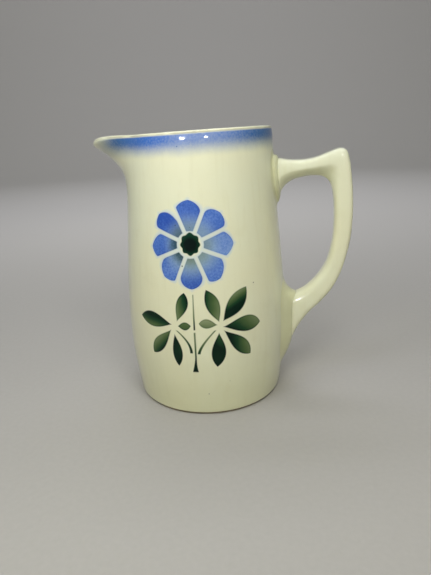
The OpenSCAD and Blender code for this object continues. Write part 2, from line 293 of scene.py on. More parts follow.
def foot_profile():
    """Radius and height of points round the foot ring's section; its ends are inside the glaze."""
    outer, inner = FOOT_R_OUT, FOOT_R_OUT - FOOT_RING_W
    bend, worn = FOOT_OUTER_ROUND, FOOT_INNER_ROUND
    profile = [(inner + 2.6, RECESS + 0.6), (inner + 0.7, RECESS + 0.3), (inner, RECESS - 0.4)]
    profile += [(inner + worn - worn * math.cos(b * DEG), worn - worn * math.sin(b * DEG))
                for b in ROUND_STEPS]
    profile += [(outer - bend + bend * math.sin(b * DEG), bend - bend * math.cos(b * DEG))
                for b in ROUND_STEPS]
    profile += [(outer, FOOT_H), (outer - 0.6, FOOT_H + 0.4), (outer - 2.4, FOOT_H + 0.5)]
    return profile


def build_foot(material):
    """Unglazed foot ring with softly worn edges."""
    a = np.arange(0, 360, FOOT_STEP) * DEG
    profile = foot_profile()
    n, m = len(a), len(profile)
    verts = []
    for r, z in profile:
        rough = 0.06 * np.sin(7 * a + r) + 0.04 * np.sin(17 * a + 3)
        verts += list(np.stack([-(r + rough) * np.cos(a), (r + rough) * np.sin(a), 0 * a + z], 1))
    faces = []
    for i in range(m):
        k = (i + 1) % m
        for j in range(n):
            nxt = (j + 1) % n
            faces.append((i * n + j, i * n + nxt, k * n + nxt, k * n + j))
    return mesh_object("foot_ring_clay", verts, faces, material)


# ------ handle

# stations from the upper to the lower root, in the handle's plane:
# outer edge x and z, inner edge x and z, share of the extra root width
HANDLE_PATH = np.array([
    [47, 176, 48.5, 133, 1], [52.5, 171.4, 54.2, 141, 0.7], [58, 169.5, 57.5, 149.8, 0.35],
    [65, 168.7, 63.5, 154.9, 0.1], [72.5, 168.8, 71.5, 157.1, 0], [80, 170.2, 78.5, 157.8, 0],
    [88, 173.2, 83.5, 157.2, 0], [95, 175.3, 86.6, 155.6, 0], [99.3, 173.4, 88.7, 153.4, 0],
    [101.5, 167, 90.1, 150.2, 0], [103.2, 156, 91.2, 145.2, 0], [104.5, 143, 92.1, 137.5, 0],
    [104.9, 130, 92.4, 128, 0], [104.2, 116, 92, 115.5, 0], [102, 103.5, 90, 103.5, 0],
    [98.4, 90.5, 86.8, 94.3, 0], [92.8, 78.5, 81.3, 85.6, 0], [85, 68.3, 75, 79, 0.05],
    [77, 60, 69.5, 75.3, 0.15], [70.5, 51, 65.5, 73.9, 0.3], [66, 42.3, 61.9, 74.6, 0.5],
    [62.5, 33, 59.5, 76.8, 0.7], [58.5, 26, 57, 81, 0.85], [53, 19, 52.5, 88, 1],
])
HANDLE_W, ROOT_EXTRA = 17.0, 4.0  # width of the handle, and how much wider each root is
HANDLE_COLS = 96
OUTER_SQUARE = 4.2                # squareness of the section's outer corners
INNER_SQUARE = 1.40               # the same for the corners that face the gap, under the top arm
GRIP_SQUARE = 3.0                 # and down the grip
GRIP_FROM, GRIP_TO = 8.0, 11.0    # stations over which the one turns into the other


def path_at(q):
    """The handle's station at q steps along its path, on a smooth curve."""
    last = len(HANDLE_PATH) - 1
    i = min(int(q), last - 1)
    t = q - i
    p0, p1 = HANDLE_PATH[max(i - 1, 0)], HANDLE_PATH[i]
    p2, p3 = HANDLE_PATH[i + 1], HANDLE_PATH[min(i + 2, last)]
    return 0.5 * (2 * p1 + (p2 - p0) * t + (2 * p0 - 5 * p1 + 4 * p2 - p3) * t * t
                  + (3 * p1 - p0 - 3 * p2 + p3) * t ** 3)


def section_angles():
    """Angle of each column round the handle's section: 0 is the outer side."""
    return np.linspace(0, 2 * np.pi, HANDLE_COLS, endpoint=False) + np.pi / HANDLE_COLS


def handle_ring(q):
    """Points and outward directions of the handle's section at a station."""
    s = path_at(q)
    outer, inner = np.array([s[0], 0, s[1]]), np.array([s[2], 0, s[3]])
    mid, half = (outer + inner) / 2, (outer - inner) / 2
    width = (HANDLE_W + ROOT_EXTRA * s[4]) / 2
    c, d = np.cos(section_angles()), np.sin(section_angles())
    grip = smooth_step((q - GRIP_FROM) / (GRIP_TO - GRIP_FROM))
    inner_square = INNER_SQUARE + (GRIP_SQUARE - INNER_SQUARE) * grip
    power = np.where(c > 0, 2 / OUTER_SQUARE, 2 / inner_square)
    u = np.sign(c) * np.abs(c) ** power
    v = np.sign(d) * np.abs(d) ** power
    points = mid + np.outer(u, half) + np.outer(v * width, [0, 1, 0])
    along = np.roll(points, -1, 0) - np.roll(points, 1, 0)
    normal = np.cross(along, np.cross(half, [0, 1, 0]))
    normal /= np.linalg.norm(normal, axis=1)[:, None]
    flip = np.sign(np.sum(normal * (points - mid), 1))
    return points, normal * flip[:, None]


def from_wall(points):
    """Distance of points from the body's wall, level with each."""
    return np.hypot(points[..., 0], points[..., 1]) - wall_r(points[..., 2])


GROOVE_DEEP, GROOVE_WIDE = 0.45, 0.45    # fine groove where a slip joint ends on the handle
UPPER_REACH, LOWER_REACH = 3.7, 6.4      # how far each joint reaches along the handle
LOWER_FLARE = 0.35                       # share by which the lower one reaches further on top


def lower_stretch():
    """How much further the lower joint reaches at each column: more on the gap side."""
    return 1 + LOWER_FLARE * np.maximum(-np.cos(section_angles()), 0) ** 2


def joint_reach(q):
    """Distance from the wall at which a joint ends, for each column round the handle."""
    if q < len(HANDLE_PATH) / 2:
        return np.full(HANDLE_COLS, UPPER_REACH)
    return LOWER_REACH * lower_stretch()


def grooved_ring(q):
    """Handle section with a fine groove where a slip joint ends on it."""
    points, normal = handle_ring(q)
    off = (from_wall(points) - joint_reach(q)) / GROOVE_WIDE
    return points - normal * (GROOVE_DEEP * np.exp(-off * off))[:, None]


UPPER_PART, LOWER_PART = 2.6, 5.2        # steps of the path that the fine stations cover at a root
FINE_STEP, PLAIN_STEP = 0.045, 0.14
UPPER_END, LOWER_END = 0.25, 0.3         # how far short of the path's ends the handle stops


def build_handle(material):
    """The loop, with its stations closer together at both roots, where the grooves are."""
    last = len(HANDLE_PATH) - 1
    stations = np.concatenate([np.arange(UPPER_END, UPPER_PART, FINE_STEP),
                               np.arange(UPPER_PART, last - LOWER_PART, PLAIN_STEP),
                               np.arange(last - LOWER_PART, last - LOWER_END, FINE_STEP)])
    rings = [grooved_ring(q) for q in stations]
    verts, faces = loft(rings, first_tip=rings[0].mean(0), last_tip=rings[-1].mean(0))
    return mesh_object("handle_loop", verts, faces, material)


JOINT_HOLD = 5.0                  # distance from the wall within which a joint follows its curve


def joint_rings(stations, drops, spread, stretch):
    """Rings of a collar round the handle's root: one ring per distance from the wall."""
    tracks = [handle_ring(q) for q in stations]
    points = np.array([t[0] for t in tracks])
    normals = np.array([t[1] for t in tracks])
    away = from_wall(points)
    rings = []
    for d, out in zip(drops, spread):
        ring = np.zeros((HANDLE_COLS, 3))
        far = d * stretch if d > 0 else np.full(HANDLE_COLS, d)
        for j in range(HANDLE_COLS):
            order = np.argsort(away[:, j])
            p = [np.interp(far[j], away[order, j], points[order, j, k]) for k in range(3)]
            n = [np.interp(far[j], away[order, j], normals[order, j, k]) for k in range(3)]
            ring[j] = np.array(p) + np.array(n) * out
        r = wall_r(ring[:, 2]) + far
        x = np.sqrt(np.maximum(r * r - ring[:, 1] ** 2, 1))
        hold = smooth_step(1 - max(d, 0) / JOINT_HOLD)
        ring[:, 0] = ring[:, 0] * (1 - hold) + x * hold
        rings.append(ring)
    return rings


# sections of the joints: distance from the wall, and height above the handle's surface
UPPER_BEAD = [(4.0, -0.8), (3.75, -0.45), (3.55, -0.15), (3.4, 0.15), (3.15, 0.5), (2.85, 0.78),
              (2.5, 0.98), (2.1, 1.08), (1.7, 1.04), (1.35, 0.88), (1.05, 0.66), (0.85, 0.6),
              (0.65, 0.85), (0.45, 1.4), (0.25, 2.1), (0.05, 3.0), (-0.4, 4.2)]
LOWER_PAD = [(6.8, -0.9), (6.55, -0.5), (6.4, -0.1), (6.2, 0.25), (5.8, 0.55), (5.2, 0.95),
             (4.4, 1.5), (3.6, 2.1), (2.8, 2.75), (2.1, 3.4), (1.5, 4.0), (1.0, 4.6),
             (0.6, 5.2), (0.2, 5.9), (-0.4, 6.9)]


def build_upper_joint(material):
    """A rolled bead of slip between the wall and the handle, with a fine groove on each side."""
    drops, spread = zip(*UPPER_BEAD)
    rings = joint_rings(np.linspace(0.1, 3.2, 90), drops, spread, np.ones(HANDLE_COLS))
    verts, faces = loft(rings)
    return mesh_object("upper_slip_fillet", verts, faces, material)


def build_lower_joint(material):
    """A chamfered pad of slip that runs from the wall to a crease on the handle's face."""
    drops, spread = zip(*LOWER_PAD)
    last = len(HANDLE_PATH) - 1
    rings = joint_rings(np.linspace(last - 5.0, last - 0.1, 120), drops, spread, lower_stretch())
    verts, faces = loft(rings)
    return mesh_object("lower_slip_fillet", verts, faces, material)


# ------ node helpers

class Nodes:
    """Short ways to add nodes to a tree and join them."""

    def __init__(self, tree):
        self.tree = tree

    def add(self, kind, **settings):
        """A shader node of a kind, with its settings."""
        node = self.tree.nodes.new("ShaderNode" + kind)
        for key, value in settings.items():
            setattr(node, key, value)
        return node

    def put(self, socket, value):
        if isinstance(value, bpy.types.NodeSocket):
            self.tree.links.new(value, socket)
        elif value is not None:
            socket.default_value = value

    def math(self, op, a, b=None, c=None, clamp=False):
        """A sum or function of up to three values."""
        node = self.add("Math", operation=op, use_clamp=clamp)
        for socket, value in zip(node.inputs, (a, b, c)):
            self.put(socket, value)
        return node.outputs[0]

    def ramp01(self, value, low, high, smooth=True):
        """0 at low, 1 at high, softly between."""
        node = self.add("MapRange", interpolation_type="SMOOTHSTEP" if smooth else "LINEAR")
        for key, item in (("Value", value), ("From Min", low), ("From Max", high),
                          ("To Min", 0.0), ("To Max", 1.0)):
            self.put(node.inputs[key], item)
        return node.outputs["Result"]

    def mix(self, share, a, b):
        """Colour a, turning to b as the share goes from 0 to 1."""
        node = self.add("Mix", data_type="RGBA")
        self.put(node.inputs["Factor"], share)
        self.put(node.inputs["A"], a)
        self.put(node.inputs["B"], b)
        return node.outputs["Result"]

    def stretched(self, where, share):
        """A place with its height squeezed, which draws a pattern out into upright streaks."""
        node = self.add("VectorMath", operation="MULTIPLY")
        self.put(node.inputs[0], where)
        node.inputs[1].default_value = (1.0, 1.0, share)
        return node.outputs[0]

    def noise(self, where, scale, detail=2.0, rough=0.5):
        """Soft noise between 0 and 1, at a scale in features per metre."""
        node = self.add("TexNoise")
        self.put(node.inputs["Vector"], where)
        node.inputs["Scale"].default_value = scale
        node.inputs["Detail"].default_value = detail
        node.inputs["Roughness"].default_value = rough
        return node.outputs["Fac"]

    def colours(self, value, stops, constant=False):
        """The colour for a value from 0 to 1, from a row of stops."""
        node = self.add("ValToRGB")
        ramp = node.color_ramp
        if constant:
            ramp.interpolation = "CONSTANT"
        while len(ramp.elements) < len(stops):
            ramp.elements.new(0.5)
        for element, (at, colour) in zip(ramp.elements, stops):
            element.position = at
            element.color = colour
        self.put(node.inputs["Fac"], value)
        return node.outputs["Color"]

    def group(self, tree, values):
        """A node of a group, with some of its inputs joined or set."""
        node = self.add("Group")
        node.node_tree = tree
        for key, value in values.items():
            self.put(node.inputs[key], value)
        return node

    def bump(self, height, strength, distance):
        """A normal from a height, with the depth of the relief in metres."""
        node = self.add("Bump")
        node.inputs["Strength"].default_value = strength
        node.inputs["Distance"].default_value = distance
        self.put(node.inputs["Height"], height)
        return node.outputs[0]


def srgb(r, g, b):
    """A colour given on the 0 to 255 display scale, as the shader needs it."""
    def one(v):
        v /= 255
        return v / 12.92 if v <= 0.04045 else ((v + 0.055) / 1.055) ** 2.4
    return (one(r), one(g), one(b), 1.0)


# the cream glaze, where it has run, darker and yellower towards the foot, darkened as painted shade in the
# slip joints, and a speck of iron in it
CREAM = srgb(235, 235, 201)
CREAM_WARM = srgb(235, 233, 196)
CREAM_COOL = srgb(233, 235, 203)
CREAM_RUN = srgb(222, 219, 178)
CREAM_AT_FOOT = srgb(226, 224, 172)
CREAM_RUN_AND_JOINT_SHADE = srgb(196, 196, 146)
SPECK_PALE, SPECK_DARK = srgb(120, 112, 84), srgb(44, 52, 40)
# a thin brownish line just under the rim
RIM_BROWN_LINE = srgb(136, 126, 96)
# the sprayed colours
BLUE = srgb(82, 120, 198)
BLUE_DEEP = srgb(50, 88, 176)
BLUE_PALE = srgb(138, 168, 214)
BLUE_HALO = srgb(190, 210, 224)
BLUE_ROOT = srgb(152, 178, 184)
# the band's blue, and a greyer blue painted towards its sides as shade
BAND_BLUE, BAND_SHADE_GREY = srgb(66, 114, 192), srgb(68, 108, 158)
ROOT_GREEN, ROOT_OLIVE = srgb(14, 58, 52), srgb(112, 126, 74)
HEART_DARK, HEART_GREEN = srgb(0, 18, 14), srgb(10, 58, 38)
LEAF_STOPS = [(0.0, srgb(0, 32, 20)), (0.25, srgb(28, 66, 38)), (0.5, srgb(76, 100, 58)),
              (0.8, srgb(114, 130, 90)), (1.0, srgb(148, 158, 120))]
# the foot ring's clay, its colour darkened as painted shade under the jug, with darker grit and stains
CLAY, CLAY_DARK, CLAY_STAIN = srgb(150, 134, 110), srgb(128, 112, 90), srgb(104, 88, 68)
FLOOR_DARK, FLOOR_PALE = srgb(174, 171, 162), srgb(181, 178, 169)


# ------ decoration masks

def new_group(name, inputs, outputs):
    """An empty group of numbers in and out, with its helper and its sockets."""
    group = bpy.data.node_groups.new(name, "ShaderNodeTree")
    for key, default in inputs:
        socket = group.interface.new_socket(key, in_out="INPUT", socket_type="NodeSocketFloat")
        socket.default_value = default
    for key in outputs:
        group.interface.new_socket(key, in_out="OUTPUT", socket_type="NodeSocketFloat")
    n = Nodes(group)
    inside, outside = group.nodes.new("NodeGroupInput"), group.nodes.new("NodeGroupOutput")
    return group, n, inside.outputs, outside.inputs


EDGE_SOFT = 0.35                  # half the width of the soft edge of a sprayed shape
LEAF_POINT = 2.2                  # how pointed both ends of a leaf are
LEAF_EDGE = 1.3                   # width of the darker line round a leaf


def leaf_group():
    """One stencilled leaf: its mask, and the share along and across it."""
    group, n, i, o = new_group(
        "leaf", [("U", 0), ("Z", 0), ("Start U", 0), ("Start Z", 0), ("Cos", 1), ("Sin", 0),
                 ("Length", 20), ("Left", 4), ("Right", 4), ("Peak", 0.6), ("Soft", 0.3)],
        ["Mask", "Along", "Across", "Edge"])
    m = n.math
    du = m("SUBTRACT", i["U"], i["Start U"])
    dz = m("SUBTRACT", i["Z"], i["Start Z"])
    s = m("MULTIPLY_ADD", du, i["Cos"], m("MULTIPLY", dz, i["Sin"]))
    t = m("SUBTRACT", m("MULTIPLY", dz, i["Cos"]), m("MULTIPLY", du, i["Sin"]))
    v = m("DIVIDE", s, i["Length"])
    v_in = m("MINIMUM", m("MAXIMUM", v, 0.0005), 0.9995)
    rise = m("POWER", m("DIVIDE", v_in, i["Peak"]), m("MULTIPLY", i["Peak"], LEAF_POINT))
    rest = m("SUBTRACT", 1.0, i["Peak"])
    fall = m("POWER", m("DIVIDE", m("SUBTRACT", 1.0, v_in), rest), m("MULTIPLY", rest, LEAF_POINT))
    is_left = m("GREATER_THAN", t, 0.0)
    width = m("MULTIPLY_ADD", m("SUBTRACT", i["Left"], i["Right"]), is_left, i["Right"])
    half = m("MULTIPLY", width, m("MULTIPLY", rise, fall))
    past = m("MAXIMUM", m("SUBTRACT", 0.0, s), m("SUBTRACT", s, i["Length"]))
    gap = m("SUBTRACT", m("SUBTRACT", half, m("ABSOLUTE", t)), m("MAXIMUM", past, 0.0))
    n.put(o["Mask"], n.ramp01(gap, m("SUBTRACT", 0.0, i["Soft"]), i["Soft"]))
    n.put(o["Edge"], n.ramp01(gap, LEAF_EDGE, 0.1))
    n.put(o["Along"], v_in)
    n.put(o["Across"], m("DIVIDE", t, width))
    return group


# start u and z, direction, length, left and right bulge, widest place,
# tone (0 dark green, 1 olive) at the start, change to the tip, change to the left, softness
LEAVES = [
    (-13.7, 69.5, 176.3, 27, 4.6, 6, 0.58, 0.2, 0.15, 0.6, 0.35),
    (-9.8, 72, 73.4, 20.4, 3.3, 4.6, 0.6, 1.15, -1.1, 0.4, 0.35),
    (-9.2, 68.8, 3.3, 8.8, 2.6, 2.9, 0.55, 0.65, 0.1, 0.1, 0.4),
    (-14.3, 65.8, 230.6, 25.2, 4.1, 4.9, 0.62, 0.8, -0.35, -0.6, 0.4),
    (-12, 63, -85.7, 23.3, 3.9, 3.0, 0.58, -0.1, 0.05, 0.25, 0.35),
    (18.3, 71.5, 110, 23.4, 4.0, 4.9, 0.55, 1.1, -0.9, -0.3, 0.4),
    (21, 71.8, 51.3, 26.6, 5.5, 6.2, 0.56, -0.6, 1.55, 0.75, 0.5),
    (20.8, 67.8, -3.6, 27.8, 6.4, 4.7, 0.62, -0.05, 1.0, 0.3, 0.4),
    (21.3, 65.3, -47.4, 27.5, 5.3, 4.5, 0.62, -0.25, 1.2, 0.3, 0.4),
    (18, 64, -94.6, 24.8, 5.4, 4.3, 0.58, 0.6, -1.5, 0.25, 0.35),
    (17, 69.5, 172.9, 12.1, 2.9, 3.5, 0.6, 1.05, 0.05, -0.2, 0.45),
]


def stem_mask(n, u, z, middle, half, low, high):
    """Mask of a nearly upright stroke, whose middle and half-width follow the height."""
    m = n.math
    side = m("SUBTRACT", half, m("ABSOLUTE", m("SUBTRACT", u, middle)))
    inside = n.ramp01(side, -EDGE_SOFT, EDGE_SOFT)
    ends = m("MULTIPLY", n.ramp01(z, low - 0.5, low + 0.5), n.ramp01(z, high + 0.5, high - 0.5))
    return m("MULTIPLY", inside, ends)


def leaf_parts(n, u, z):
    """Mask and tone of each leaf."""
    m = n.math
    leaf = leaf_group()
    parts = []
    for at_u, at_z, turn, length, left, right, peak, tone, to_tip, to_left, soft in LEAVES:
        node = n.group(leaf, {"U": u, "Z": z, "Start U": at_u, "Start Z": at_z,
                              "Cos": math.cos(turn * DEG), "Sin": math.sin(turn * DEG),
                              "Length": length, "Left": left, "Right": right, "Peak": peak,
                              "Soft": soft})
        tone = m("MULTIPLY_ADD", node.outputs["Along"], to_tip, tone)
        tone = m("MULTIPLY_ADD", node.outputs["Across"], to_left, tone)
        tone = m("MAXIMUM", m("MULTIPLY_ADD", node.outputs["Edge"], -0.3, tone), 0.0)
        parts.append((node.outputs["Mask"], tone))
    return parts


def stem_parts(n, u, z):
    """Mask and tone of the main stem's two lengths and of the side stems, by height in mm."""
    m = n.math
    main = m("MULTIPLY_ADD", n.ramp01(z, 48, 36), -0.7, 1.9)
    foot = m("MULTIPLY", m("POWER", n.ramp01(z, 47, 35.5, smooth=False), 2.0), 1.5)
    upper_half = m("MULTIPLY_ADD", n.ramp01(z, 90, 70), 0.25, 0.30)
    strokes = [
        (stem_mask(n, u, z, main, upper_half, 66.4, 90.5), n.ramp01(z, 66, 80)),
        (stem_mask(n, u, z, main, m("ADD", foot, 0.58), 35.6, 64.7), n.ramp01(z, 40, 62)),
    ]
    left_t = n.ramp01(z, 50, 65.8, smooth=False)
    left_mid = m("MULTIPLY_ADD", m("POWER", left_t, 2.0), -9.7, -0.9)
    left_half = m("MULTIPLY_ADD", left_t, -0.35, 0.95)
    strokes.append((stem_mask(n, u, z, left_mid, left_half, 49.8, 65.6), n.ramp01(z, 48, 70)))
    right_t = n.ramp01(z, 49.4, 66, smooth=False)
    right_mid = m("MULTIPLY_ADD", m("POWER", right_t, 1.45), 11.6, 4.2)
    right_half = m("MULTIPLY_ADD", right_t, -0.35, 1.0)
    strokes.append((stem_mask(n, u, z, right_mid, right_half, 49.2, 65.8), n.ramp01(z, 44, 62)))
    return strokes


def plants_group():
    """All leaves and stems: how much green is on the wall, and its tone."""
    group, n, i, o = new_group("plants", [("U", 0), ("Z", 0), ("Mottle", 0.5)], ["Mask", "Tone"])
    m = n.math
    total, toned = 0.0, 0.0
    for mask, tone in leaf_parts(n, i["U"], i["Z"]) + stem_parts(n, i["U"], i["Z"]):
        total = m("ADD", mask, total)
        toned = m("MULTIPLY_ADD", mask, tone, toned)
    tone = m("DIVIDE", toned, m("MAXIMUM", total, 0.001))
    tone = m("ADD", tone, m("MULTIPLY", m("SUBTRACT", i["Mottle"], 0.5), 0.35))
    n.put(o["Mask"], m("MINIMUM", total, 1.0))
    n.put(o["Tone"], tone)
    return group


FLOWER_U, FLOWER_Z = 1.5, 122.4   # middle of the flower
PETAL_ROOT, PETAL_SHOULDER = 8.6, 20.0   # distances at which a petal starts and its end begins
PETAL_GAP = 2.6                   # bare gap between two petals
PETAL_TIP_ROUND = 0.7             # power that rounds a petal's outer end
PETAL_CORNER = 0.8                # rounding of a petal's corners
CROWN_SLOPE = 0.8                 # turns a width at the outer end into a distance from the edge
CENTRE_R, SCALLOP = 6.35, 0.42    # radius of the dark centre, and depth of its eight scallops
CENTRE_WIDE, CENTRE_HIGH, CENTRE_LIFT = 0.95, 1.09, 0.5
PETAL_HALF = 22.5 * DEG           # half the angle that a petal and its gap take up
# petals from +u anticlockwise: tip's distance, its lean to the left, widest half to the left and
# right, bluntness, strength of the blue, green sprayed over the root, how far the root is paler,
# how olive that green is
PETALS = [
    (27.6, -0.4, 7.6, 8.8, 1.7, 0.3, 0.42, 0.5, 0.6),
    (27.2, -0.4, 7.4, 7.8, 3.2, 0.62, 0.15, 0.45, 0.5),
    (27.6, 0.5, 8.8, 7.2, 2.2, 0.76, 0.3, 0.5, 0.7),
    (27.5, 0.8, 8.0, 5.2, 2.8, 1.0, 0.62, 0.25, 0.25),
    (26.7, 1.8, 8.8, 6.4, 1.8, 0.64, 0.8, 0.15, 0.0),
    (27.6, 1.8, 8.6, 6.2, 2.6, 0.6, 0.85, 0.7, 0.0),
    (28.4, 0.0, 7.1, 7.1, 2.8, 0.8, 0.6, 1.0, 0.9),
    (28.6, -2.4, 7.2, 8.4, 2.6, 0.52, 0.45, 0.9, 1.0),
]


def per_petal(n, index, columns, lows, highs):
    """Looks up three columns of PETALS for the petal of an index, between given limits."""
    stops = []
    for k, row in enumerate(PETALS):
        scaled = [(row[c] - lo) / (hi - lo) for c, lo, hi in zip(columns, lows, highs)]
        stops.append((k / 8, (*scaled, 1)))
    share = n.math("ADD", n.math("DIVIDE", index, 8.0), 0.0625)
    split = n.add("SeparateColor")
    n.put(split.inputs[0], n.colours(share, stops, constant=True))
    return [n.math("MULTIPLY_ADD", split.outputs[c], hi - lo, float(lo))
            for c, (lo, hi) in enumerate(zip(lows, highs))]


def flower_group():
    """The flower: masks of its parts, and the strength of the colours in each petal."""
    group, n, i, o = new_group("flower", [("U", 0), ("Z", 0)],
                               ["Petals", "Halo", "Rim", "Depth", "Green", "Pale", "Olive", "Centre",
                                "Radius"])
    m = n.math
    du = m("SUBTRACT", i["U"], FLOWER_U)
    dz = m("SUBTRACT", i["Z"], FLOWER_Z)
    radius = m("SQRT", m("MULTIPLY_ADD", du, du, m("MULTIPLY", dz, dz)))
    angle = m("ARCTAN2", dz, du)
    turns = m("ROUND", m("DIVIDE", angle, math.pi / 4))
    index = m("FLOORED_MODULO", turns, 8.0)
    local = m("SUBTRACT", angle, m("MULTIPLY", turns, math.pi / 4))
    along = m("MULTIPLY", radius, m("COSINE", local))
    side = m("MULTIPLY", radius, m("SINE", local))
    tip, lean, blunt = per_petal(n, index, (0, 1, 4), (24, -4, 0), (30, 4, 4))
    left, right, depth = per_petal(n, index, (2, 3, 5), (0, 0, 0), (10, 10, 1))
    green, pale, olive = per_petal(n, index, (6, 7, 8), (0, 0, 0), (1, 1, 1))
    slope, inset = math.tan(PETAL_HALF), PETAL_GAP / 2 / math.cos(PETAL_HALF)
    edge = m("MULTIPLY_ADD", along, slope, -inset)
    out = m("DIVIDE", m("SUBTRACT", along, PETAL_SHOULDER), m("SUBTRACT", tip, PETAL_SHOULDER))
    out = m("MINIMUM", m("MAXIMUM", out, 0.001), 1.0)
    offset = m("SUBTRACT", side, m("MULTIPLY", lean, out))
    widest = m("MULTIPLY_ADD", m("SUBTRACT", left, right), m("GREATER_THAN", offset, 0.0), right)
    cap = m("POWER", m("SUBTRACT", 1.0, m("POWER", out, blunt)), PETAL_TIP_ROUND)
    crown = m("SUBTRACT", m("MULTIPLY", cap, widest), m("ABSOLUTE", offset))
    crown = m("MULTIPLY", crown, CROWN_SLOPE)
    wedge = m("SMOOTH_MIN", m("SUBTRACT", edge, m("ABSOLUTE", side)), crown, PETAL_CORNER)
    past = m("MAXIMUM", m("SUBTRACT", along, tip), 0.0)
    root = m("SUBTRACT", radius, PETAL_ROOT)
    gap = m("SUBTRACT", m("SMOOTH_MIN", wedge, root, PETAL_CORNER), past)
    n.put(o["Petals"], n.ramp01(gap, -EDGE_SOFT, EDGE_SOFT))
    n.put(o["Halo"], n.ramp01(gap, -3.0, 0.0))
    n.put(o["Rim"], n.ramp01(gap, 1.2, 0.2))
    for key, value in (("Depth", depth), ("Green", green), ("Pale", pale), ("Olive", olive),
                       ("Radius", radius)):
        n.put(o[key], value)
    high = m("DIVIDE", m("SUBTRACT", dz, CENTRE_LIFT), CENTRE_HIGH)
    squashed = m("SQRT", m("ADD", m("POWER", m("DIVIDE", du, CENTRE_WIDE), 2.0),
                           m("POWER", high, 2.0)))
    bumps = m("MULTIPLY_ADD", m("COSINE", m("MULTIPLY", angle, 8.0)), SCALLOP, CENTRE_R)
    n.put(o["Centre"], n.ramp01(m("SUBTRACT", bumps, squashed), -EDGE_SOFT, EDGE_SOFT))
    return group


# ------ materials

def new_material(name):
    """A material with one principled shader, its helper, and the place of each point."""
    material = bpy.data.materials.new(name)
    material.use_nodes = True
    material.node_tree.nodes.clear()
    n = Nodes(material.node_tree)
    shader = n.add("BsdfPrincipled")
    out = n.add("OutputMaterial")
    n.put(out.inputs["Surface"], shader.outputs[0])
    return material, n, shader, n.add("TexCoord").outputs["Object"]


def cream_glaze(n, where):
    """Cream glaze with slow changes of tint and a few specks of iron."""
    slow = n.noise(where, 14.0, 2.0)
    fine = n.noise(where, 260.0, 3.0, 0.6)
    colour = n.mix(n.ramp01(slow, 0.3, 0.7), CREAM_WARM, CREAM_COOL)
    colour = n.mix(n.math("MULTIPLY", n.ramp01(fine, 0.3, 0.75), 0.25), colour, CREAM)
    runs = n.noise(n.stretched(where, 0.07), 330.0, 2.0)
    streaks = n.math("MULTIPLY", n.ramp01(runs, 0.48, 0.75), 0.17)
    clouds = n.math("MULTIPLY", n.ramp01(n.noise(where, 75.0, 4.0, 0.6), 0.5, 0.8), 0.25)
    colour = n.mix(n.math("ADD", streaks, clouds), colour, CREAM_RUN)
    cells = n.add("TexVoronoi")
    n.put(cells.inputs["Vector"], where)
    cells.inputs["Scale"].default_value = 42.0
    split = n.add("SeparateColor")
    n.put(split.inputs[0], cells.outputs["Color"])
    rare = n.math("GREATER_THAN", split.outputs[0], 0.80)
    dot = n.math("MULTIPLY", n.ramp01(cells.outputs["Distance"], 0.030, 0.012), rare)
    return n.mix(n.math("MULTIPLY", dot, 0.45), colour, SPECK_PALE)


COAT, COAT_LOSS = 0.8, 0.65       # weight of the glassy coat, and what thick colour takes off it


def glaze_finish(n, shader, where, dull=None):
    """Glassy coat with the slow waviness of a fired glaze, thinner where the colour is thick."""
    shader.inputs["IOR"].default_value = 1.5
    shader.inputs["Specular IOR Level"].default_value = 0.10
    shader.inputs["Coat Weight"].default_value = COAT
    if dull is not None:
        n.put(shader.inputs["Coat Weight"], n.math("MULTIPLY_ADD", dull, -COAT_LOSS, COAT))
    shader.inputs["Coat Roughness"].default_value = 0.05
    drawn = n.stretched(where, 0.22)
    streaks = n.noise(drawn, 120.0, 2.0)
    n.put(shader.inputs["Roughness"], n.math("MULTIPLY_ADD", streaks, 0.08, 0.26))
    waves = n.noise(drawn, 62.0, 2.0, 0.45)
    pits = n.noise(where, 700.0, 1.0)
    height = n.math("MULTIPLY_ADD", pits, 0.14, n.math("MULTIPLY", waves, 0.4))
    n.put(shader.inputs["Normal"], n.bump(height, 0.3, 0.0003))


def plain_glaze(name, joint_shade=0.0):
    """Cream glaze without decoration, with random darker runs, darkened further by a share of painted
    shade as in the slip joints.
    """
    material, n, shader, where = new_material(name)
    # random darker runs, raised by the share of painted shade that the slip joints get
    runs = n.math("MULTIPLY_ADD", n.noise(where, 90.0, 2.0), 0.4, joint_shade - 0.2)
    colour = n.mix(n.math("MAXIMUM", runs, 0.0), cream_glaze(n, where), CREAM_RUN_AND_JOINT_SHADE)
    n.put(shader.inputs["Base Color"], colour)
    glaze_finish(n, shader, where)
    return material


def beak_nodes(n, x, y, z, r):
    """For each place: height of the rim above it, and how far the beak stands out there, in mm."""
    m = n.math
    away = m("DIVIDE", m("ARCTAN2", m("ABSOLUTE", y), m("MULTIPLY", x, -1.0)), DEG)
    away = m("SUBTRACT", m("SQRT", m("MULTIPLY_ADD", away, away, BEAK_NOSE ** 2)), BEAK_NOSE)
    share = m("MAXIMUM", m("MULTIPLY_ADD", away, -1 / float(nose_angle(BEAK_SPREAD)), 1.0), 0.0)
    plan = m("MULTIPLY", share, share)
    slope = m("MULTIPLY", m("DIVIDE", m("MULTIPLY", x, 1000.0), r), RIM_R * RIM_SLOPE)
    top = m("MULTIPLY_ADD", plan, -BEAK_DROP, m("ADD", slope, BODY_H))
    top = m("MULTIPLY_ADD", m("POWER", plan, 3.0), -NOSE_DROP, top)
    slope = m("MULTIPLY", plan, BEAK_REACH * BEAK_SWEEP / BEAK_RISE)
    tilt = m("DIVIDE", slope, m("SQRT", m("MULTIPLY_ADD", slope, slope, 1.0)))
    top = m("MULTIPLY_ADD", tilt, LIP_LIFT, top)
    up = m("MAXIMUM", m("DIVIDE", m("SUBTRACT", z, BEAK_Z), BEAK_RISE), 0.0)
    return top, m("MULTIPLY", m("MULTIPLY", m("POWER", up, BEAK_SWEEP), BEAK_REACH), plan)


